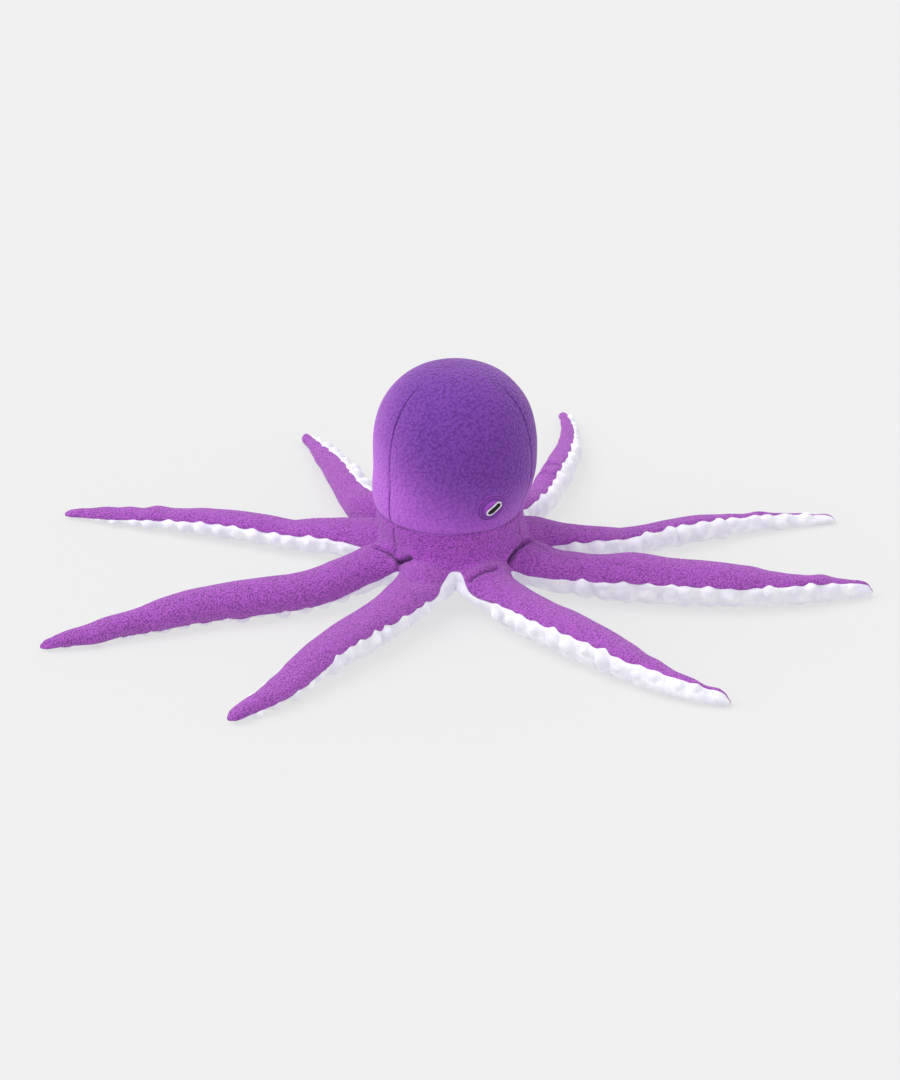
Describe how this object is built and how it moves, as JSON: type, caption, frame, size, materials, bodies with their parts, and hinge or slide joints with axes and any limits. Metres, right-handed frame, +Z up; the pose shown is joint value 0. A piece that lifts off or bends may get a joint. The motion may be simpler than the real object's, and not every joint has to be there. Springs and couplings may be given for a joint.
{
  "type": "plush octopus toy",
  "caption": "Stuffed octopus with an egg-shaped fleece head, appliqued slit-pupil eyes and long arms with white knobbed plush undersides, lying spread on its belly.",
  "frame": {"origin": "centre of the flat patch under the belly, on the floor", "axes": "+Z up; the face looks along -Y; +X is to the right of a viewer facing the face"},
  "size_m": [0.7823, 0.8241, 0.228],
  "materials": {
    "head_fleece": "matte",
    "skirt_fleece": "matte",
    "arm_fleece": "matte",
    "eye_patch_fleece": "matte",
    "white_plush": "matte",
    "polyester_filling": "matte",
    "black_felt": "matte",
    "white_stitching": "satin"
  },
  "bodies": {
    "body": {"belly_panel": "white_plush", "skirt_panels": "skirt_fleece", "body_filling": "polyester_filling"},
    "head": {"head_gore_left": "head_fleece", "head_gore_right": "head_fleece", "head_gore_back": "head_fleece", "head_filling": "polyester_filling", "left_eye_patch": "eye_patch_fleece", "right_eye_patch": "eye_patch_fleece", "left_eye_slit": "black_felt", "right_eye_slit": "black_felt", "eye_slit_edging": "white_stitching"},
    "front_arm_root": {"front_arm_root_fleece": "arm_fleece", "front_arm_root_suckers": "white_plush", "front_arm_root_filling": "polyester_filling"},
    "front_arm_end": {"front_arm_end_fleece": "arm_fleece", "front_arm_end_suckers": "white_plush", "front_arm_end_filling": "polyester_filling"},
    "front_right_arm_root": {"front_right_arm_root_fleece": "arm_fleece", "front_right_arm_root_suckers": "white_plush", "front_right_arm_root_filling": "polyester_filling"},
    "front_right_arm_end": {"front_right_arm_end_fleece": "arm_fleece", "front_right_arm_end_suckers": "white_plush", "front_right_arm_end_filling": "polyester_filling"},
    "right_arm_root": {"right_arm_root_fleece": "arm_fleece", "right_arm_root_suckers": "white_plush", "right_arm_root_filling": "polyester_filling"},
    "right_arm_end": {"right_arm_end_fleece": "arm_fleece", "right_arm_end_suckers": "white_plush", "right_arm_end_filling": "polyester_filling"},
    "back_right_arm_root": {"back_right_arm_root_fleece": "arm_fleece", "back_right_arm_root_suckers": "white_plush", "back_right_arm_root_filling": "polyester_filling"},
    "back_right_arm_end": {"back_right_arm_end_fleece": "arm_fleece", "back_right_arm_end_suckers": "white_plush", "back_right_arm_end_filling": "polyester_filling"},
    "back_arm_root": {"back_arm_root_fleece": "arm_fleece", "back_arm_root_suckers": "white_plush", "back_arm_root_filling": "polyester_filling"},
    "back_arm_end": {"back_arm_end_fleece": "arm_fleece", "back_arm_end_suckers": "white_plush", "back_arm_end_filling": "polyester_filling"},
    "back_left_arm_root": {"back_left_arm_root_fleece": "arm_fleece", "back_left_arm_root_suckers": "white_plush", "back_left_arm_root_filling": "polyester_filling"},
    "back_left_arm_end": {"back_left_arm_end_fleece": "arm_fleece", "back_left_arm_end_suckers": "white_plush", "back_left_arm_end_filling": "polyester_filling"},
    "left_arm_root": {"left_arm_root_fleece": "arm_fleece", "left_arm_root_suckers": "white_plush", "left_arm_root_filling": "polyester_filling"},
    "left_arm_end": {"left_arm_end_fleece": "arm_fleece", "left_arm_end_suckers": "white_plush", "left_arm_end_filling": "polyester_filling"},
    "front_left_arm_root": {"front_left_arm_root_fleece": "arm_fleece", "front_left_arm_root_suckers": "white_plush", "front_left_arm_root_filling": "polyester_filling"},
    "front_left_arm_end": {"front_left_arm_end_fleece": "arm_fleece", "front_left_arm_end_suckers": "white_plush", "front_left_arm_end_filling": "polyester_filling"}
  },
  "joints": [
    {"name": "head_lean", "type": "hinge", "parent": "body", "child": "head", "pos_m": [0, 0, 0.08], "axis": [1, 0, 0], "range_deg": [-10, 10], "stiffness_Nm_per_rad": 1.2},
    {"name": "front_arm_lift", "type": "hinge", "parent": "body", "child": "front_arm_root", "pos_m": [0, -0.088, 0.027], "axis": [-0.9877, -0.1564, 0], "range_deg": [-65, 60], "stiffness_Nm_per_rad": 0.03},
    {"name": "front_arm_curl", "type": "hinge", "parent": "front_arm_root", "child": "front_arm_end", "pos_m": [0.03199, -0.2424, 0.02392], "axis": [-0.9547, -0.2977, 0], "range_deg": [-40, 60], "stiffness_Nm_per_rad": 0.012},
    {"name": "front_right_arm_lift", "type": "hinge", "parent": "body", "child": "front_right_arm_root", "pos_m": [0.06223, -0.06223, 0.027], "axis": [-0.9219, -0.3875, 0], "range_deg": [-65, 60], "stiffness_Nm_per_rad": 0.03},
    {"name": "front_right_arm_curl", "type": "hinge", "parent": "front_right_arm_root", "child": "front_right_arm_end", "pos_m": [0.15524, -0.18113, 0.01395], "axis": [-0.6862, -0.7275, 0], "range_deg": [-40, 60], "stiffness_Nm_per_rad": 0.012},
    {"name": "right_arm_lift", "type": "hinge", "parent": "body", "child": "right_arm_root", "pos_m": [0.088, 0, 0.027], "axis": [-0.408, -0.913, 0], "range_deg": [-65, 60], "stiffness_Nm_per_rad": 0.03},
    {"name": "right_arm_curl", "type": "hinge", "parent": "right_arm_root", "child": "right_arm_end", "pos_m": [0.24221, -0.01689, 0.01475], "axis": [0.1372, -0.9905, 0], "range_deg": [-40, 60], "stiffness_Nm_per_rad": 0.012},
    {"name": "back_right_arm_lift", "type": "hinge", "parent": "body", "child": "back_right_arm_root", "pos_m": [0.06223, 0.06223, 0.027], "axis": [0.8829, -0.4695, 0], "range_deg": [-65, 60], "stiffness_Nm_per_rad": 0.03},
    {"name": "back_right_arm_curl", "type": "hinge", "parent": "back_right_arm_root", "child": "back_right_arm_end", "pos_m": [0.13072, 0.17218, 0.01595], "axis": [0.618, -0.7862, 0], "range_deg": [-40, 60], "stiffness_Nm_per_rad": 0.012},
    {"name": "back_arm_lift", "type": "hinge", "parent": "body", "child": "back_arm_root", "pos_m": [0, 0.088, 0.027], "axis": [0.9994, 0.0349, 0], "range_deg": [-65, 60], "stiffness_Nm_per_rad": 0.03},
    {"name": "back_arm_curl", "type": "hinge", "parent": "back_arm_root", "child": "back_arm_end", "pos_m": [-0.00425, 0.24585, 0.01475], "axis": [0.9991, 0.0418, 0], "range_deg": [-40, 60], "stiffness_Nm_per_rad": 0.012},
    {"name": "back_left_arm_lift", "type": "hinge", "parent": "body", "child": "back_left_arm_root", "pos_m": [-0.06223, 0.06223, 0.027], "axis": [0.5821, 0.8131, 0], "range_deg": [-65, 60], "stiffness_Nm_per_rad": 0.03},
    {"name": "back_left_arm_curl", "type": "hinge", "parent": "back_left_arm_root", "child": "back_left_arm_end", "pos_m": [-0.17371, 0.17744, 0.01754], "axis": [0.7797, 0.6262, 0], "range_deg": [-40, 60], "stiffness_Nm_per_rad": 0.012},
    {"name": "left_arm_lift", "type": "hinge", "parent": "body", "child": "left_arm_root", "pos_m": [-0.088, 0, 0.027], "axis": [0.1495, 0.9888, 0], "range_deg": [-65, 60], "stiffness_Nm_per_rad": 0.03},
    {"name": "left_arm_curl", "type": "hinge", "parent": "left_arm_root", "child": "left_arm_end", "pos_m": [-0.22151, 0.03095, 0.01874], "axis": [0.2443, 0.9697, 0], "range_deg": [-40, 60], "stiffness_Nm_per_rad": 0.012},
    {"name": "front_left_arm_lift", "type": "hinge", "parent": "body", "child": "front_left_arm_root", "pos_m": [-0.06223, -0.06223, 0.027], "axis": [-0.8716, 0.4903, 0], "range_deg": [-65, 60], "stiffness_Nm_per_rad": 0.03},
    {"name": "front_left_arm_curl", "type": "hinge", "parent": "front_left_arm_root", "child": "front_left_arm_end", "pos_m": [-0.12365, -0.18999, 0.01993], "axis": [-0.9322, 0.3619, 0], "range_deg": [-40, 60], "stiffness_Nm_per_rad": 0.012}
  ]
}
